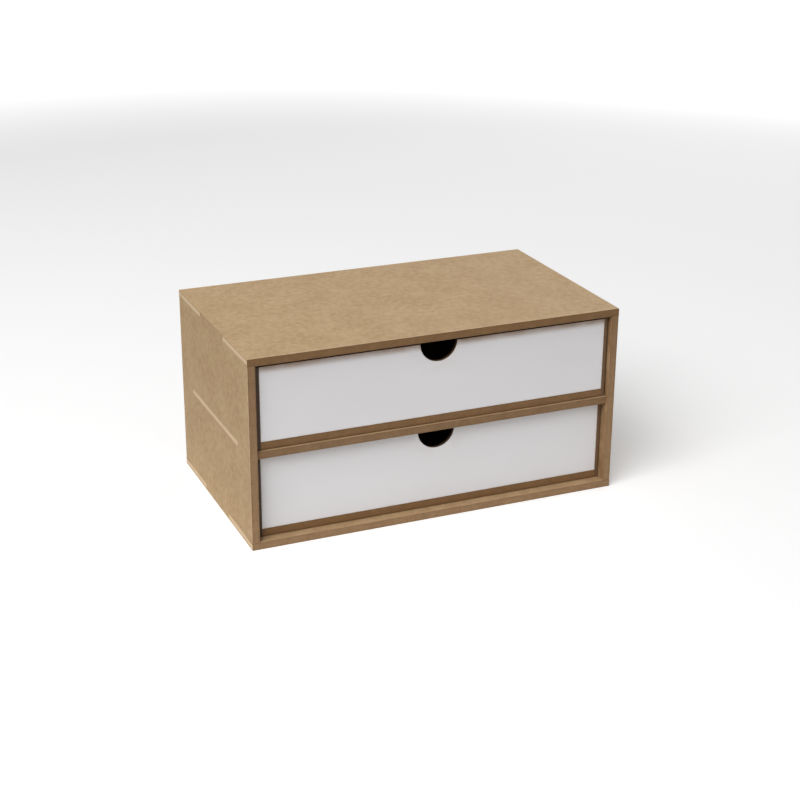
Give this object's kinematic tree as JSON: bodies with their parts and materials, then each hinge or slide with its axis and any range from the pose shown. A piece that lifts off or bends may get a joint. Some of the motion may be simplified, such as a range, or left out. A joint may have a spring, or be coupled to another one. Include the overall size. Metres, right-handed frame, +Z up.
{
  "type": "two-drawer tabletop chest",
  "caption": "Tabletop chest of fibreboard with two white-fronted drawers for disc cases, each with a half-round finger notch.",
  "frame": {"origin": "middle of the underside of the case", "axes": "+Z up, +X to the right seen from the front, the drawer fronts face -Y and open towards -Y"},
  "size_m": [0.3, 0.172, 0.15],
  "materials": {
    "case_board": "raw fibreboard, matt, fine mottle",
    "drawer_floor": "raw fibreboard, matt",
    "hardboard": "smooth brown hardboard, cut edges darkened",
    "white_front": "white faced thin board, satin, cut edges brown"
  },
  "bodies": {
    "case": {"left_side": "case_board", "right_side": "case_board", "top_panel": "case_board", "bottom_panel": "case_board", "shelf": "case_board", "back_panel": "hardboard"},
    "upper_drawer": {"upper_front": "white_front", "upper_left_wall": "hardboard", "upper_right_wall": "hardboard", "upper_floor": "drawer_floor", "upper_back_wall": "hardboard"},
    "lower_drawer": {"lower_front": "white_front", "lower_left_wall": "hardboard", "lower_right_wall": "hardboard", "lower_floor": "drawer_floor", "lower_back_wall": "hardboard"}
  },
  "joints": [
    {"name": "upper_drawer_slide", "type": "slide", "parent": "case", "child": "upper_drawer", "axis": [0, -1, 0], "range_m": [-0.0041, 0.1359]},
    {"name": "lower_drawer_slide", "type": "slide", "parent": "case", "child": "lower_drawer", "axis": [0, -1, 0], "range_m": [0, 0.14]}
  ]
}
